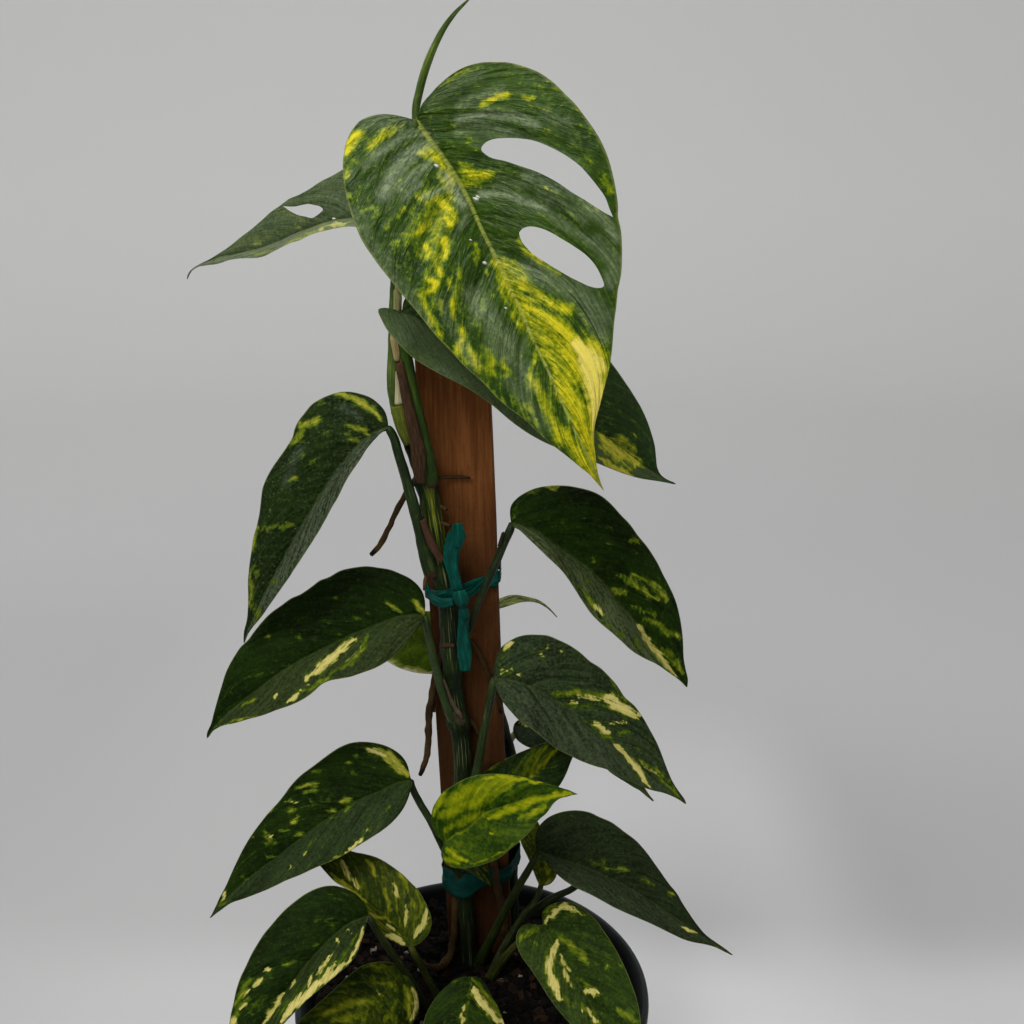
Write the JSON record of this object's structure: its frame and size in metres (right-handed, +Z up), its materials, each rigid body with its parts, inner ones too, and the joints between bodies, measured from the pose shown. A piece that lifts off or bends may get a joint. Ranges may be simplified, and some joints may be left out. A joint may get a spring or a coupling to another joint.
{
  "type": "potted pothos plant",
  "caption": "Yellow flame pothos with slit leaves, tied to a cedar stake in a round dark nursery pot.",
  "frame": {"origin": "centre of the pot's underside", "axes": "+Z up along the pot's axis, -Y towards the viewer, the side that most leaves face, +X to the viewer's right"},
  "size_m": [0.3102, 0.2285, 0.7141],
  "materials": {
    "pot_plastic": "satin, slightly rough moulded plastic",
    "bark_mix": "loose bark chips and peat",
    "cedar": "rough sawn, long dark grain",
    "stem": "ridged green vine stem with brown joints",
    "leaf": "waxy, satin gloss",
    "petiole": "smooth green leaf stalk, brown papery sheath at its foot",
    "tape": "thin stretched vinyl tape",
    "root": "dry brown aerial root"
  },
  "bodies": {
    "root": {"pot": "pot_plastic", "stake": "cedar", "main_stem": "stem", "rear_stem": "stem", "leaf_top": "leaf", "leaf_upper_back": "leaf", "leaf_second": "leaf", "leaf_left_a": "leaf", "leaf_left_b": "leaf", "leaf_right_a": "leaf", "leaf_right_b": "leaf", "leaf_left_c": "leaf", "leaf_center": "leaf", "leaf_behind_center": "leaf", "leaf_back_small": "leaf", "leaf_right_c": "leaf", "leaf_right_low": "leaf", "leaf_left_small": "leaf", "leaf_left_d": "leaf", "leaf_left_e": "leaf", "leaf_front": "leaf", "leaf_back_left": "leaf", "leaf_tiny_a": "leaf", "leaf_tiny_b": "leaf", "leaf_right_hidden": "leaf", "leaf_back_arch": "leaf", "petiole_top": "petiole", "petiole_upper_back": "petiole", "petiole_second": "petiole", "petiole_left_a": "petiole", "petiole_left_b": "petiole", "petiole_right_a": "petiole", "petiole_right_b": "petiole", "petiole_left_c": "petiole", "petiole_center": "petiole", "petiole_behind_center": "petiole", "petiole_back_small": "petiole", "petiole_right_c": "petiole", "petiole_right_low": "petiole", "petiole_left_small": "petiole", "petiole_left_d": "petiole", "petiole_left_e": "petiole", "petiole_front": "petiole", "petiole_back_left": "petiole", "petiole_back_arch": "petiole", "petiole_tiny_a": "petiole", "petiole_right_hidden": "petiole", "new_leaf": "leaf", "aerial_root_upper": "root", "aerial_root_middle": "root", "aerial_root_stake": "root", "aerial_root_low": "root", "tie_upper_band": "tape", "tie_upper_bow": "tape", "tie_lower_band": "tape", "soil": "bark_mix"}
  },
  "joints": []
}
